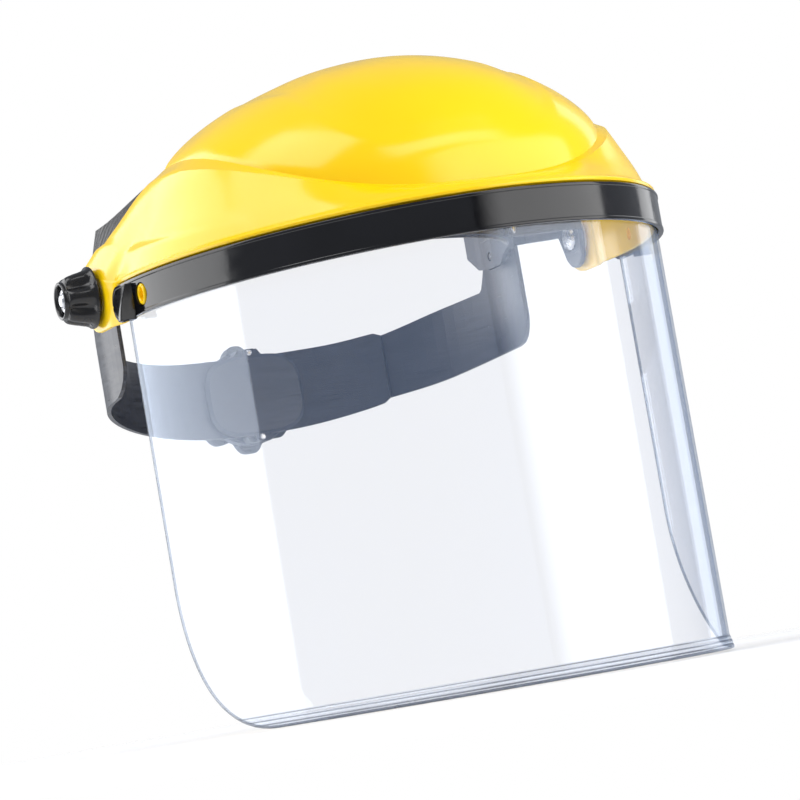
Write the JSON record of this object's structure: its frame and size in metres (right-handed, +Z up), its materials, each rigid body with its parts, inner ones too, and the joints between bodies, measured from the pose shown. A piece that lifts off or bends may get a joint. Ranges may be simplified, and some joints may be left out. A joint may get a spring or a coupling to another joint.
{
  "type": "face shield",
  "caption": "Head-worn face shield: yellow brow guard with a clear curved visor, tilting on clamping knobs on a ratchet-adjusted headgear ring with a strap over the head.",
  "frame": {"origin": "midway between the two tilt bolts, at the temples", "axes": "+X to the wearer's left, -Y forward, +Z up"},
  "size_m": [0.2612, 0.3555, 0.2701],
  "materials": {
    "yellow_plastic": "glossy",
    "black_gloss_plastic": "glossy",
    "black_satin_plastic": "satin",
    "clear_sheet": "clear polished",
    "zinc_steel": "bright zinc",
    "washer_plastic": "natural moulded",
    "sweatband_foam": "soft foam"
  },
  "bodies": {
    "headgear": {"forehead_band": "black_satin_plastic", "sweatband": "sweatband_foam", "side_bracket_left": "black_satin_plastic", "side_bracket_right": "black_satin_plastic", "bracket_rivet_left_front": "zinc_steel", "bracket_rivet_left_rear": "zinc_steel", "bracket_rivet_right_front": "zinc_steel", "bracket_rivet_right_rear": "zinc_steel", "crown_strap_left": "black_satin_plastic", "crown_strap_right": "black_satin_plastic", "crown_strap_pin_left": "black_gloss_plastic", "crown_strap_pin_right": "black_gloss_plastic", "strap_stud_left_lower": "black_gloss_plastic", "strap_stud_left_upper": "black_gloss_plastic", "strap_stud_right_lower": "black_gloss_plastic", "strap_stud_right_upper": "black_gloss_plastic", "tilt_bolt_left": "zinc_steel", "tilt_bolt_right": "zinc_steel", "friction_washer_left": "washer_plastic", "friction_washer_right": "washer_plastic", "ratchet_housing": "black_satin_plastic", "ratchet_inner_cover": "black_satin_plastic", "housing_screw_lower": "zinc_steel", "housing_screw_upper": "zinc_steel"},
    "shield": {"brow_guard": "yellow_plastic", "visor_strip": "black_gloss_plastic", "visor_panel": "clear_sheet", "spring_washer_left": "zinc_steel", "spring_washer_right": "zinc_steel"},
    "knob_right": {"side_knob_right": "black_gloss_plastic", "knob_nut_right": "zinc_steel"},
    "knob_left": {"side_knob_left": "black_gloss_plastic", "knob_nut_left": "zinc_steel"},
    "nape_right": {"nape_strap_right": "black_satin_plastic"},
    "nape_left": {"nape_strap_left": "black_satin_plastic"},
    "ratchet_drive": {"ratchet_knob": "black_gloss_plastic", "pinion_gear": "washer_plastic", "pawl_spring": "washer_plastic", "ratchet_screw": "zinc_steel"}
  },
  "joints": [
    {"name": "shield_tilt", "type": "hinge", "parent": "headgear", "child": "shield", "pos_m": [0, 0, 0], "axis": [-1, 0, 0], "range_deg": [0, 75]},
    {"name": "knob_turn_right", "type": "hinge", "parent": "headgear", "child": "knob_right", "pos_m": [-0.1164, 0, 0], "axis": [-1, 0, 0], "range_deg": [0, 270]},
    {"name": "knob_turn_left", "type": "hinge", "parent": "headgear", "child": "knob_left", "pos_m": [0.1164, 0, 0], "axis": [1, 0, 0], "range_deg": [0, 270]},
    {"name": "ratchet_turn", "type": "hinge", "parent": "headgear", "child": "ratchet_drive", "pos_m": [0, 0.15, -0.0375], "axis": [0, 1, 0], "range_deg": [-56, 56]},
    {"name": "nape_slide_right", "type": "hinge", "parent": "headgear", "child": "nape_right", "pos_m": [0, 0.05, 0], "axis": [0, 0, 1], "range_deg": [-3.6, 3.6]},
    {"name": "nape_slide_left", "type": "hinge", "parent": "headgear", "child": "nape_left", "pos_m": [0, 0.05, 0], "axis": [0, 0, 1], "range_deg": [-3.6, 3.6]}
  ],
  "couplings": [
    {"joint": "nape_slide_right", "follows": "ratchet_turn", "ratio": -0.062144},
    {"joint": "nape_slide_left", "follows": "ratchet_turn", "ratio": 0.060698}
  ]
}
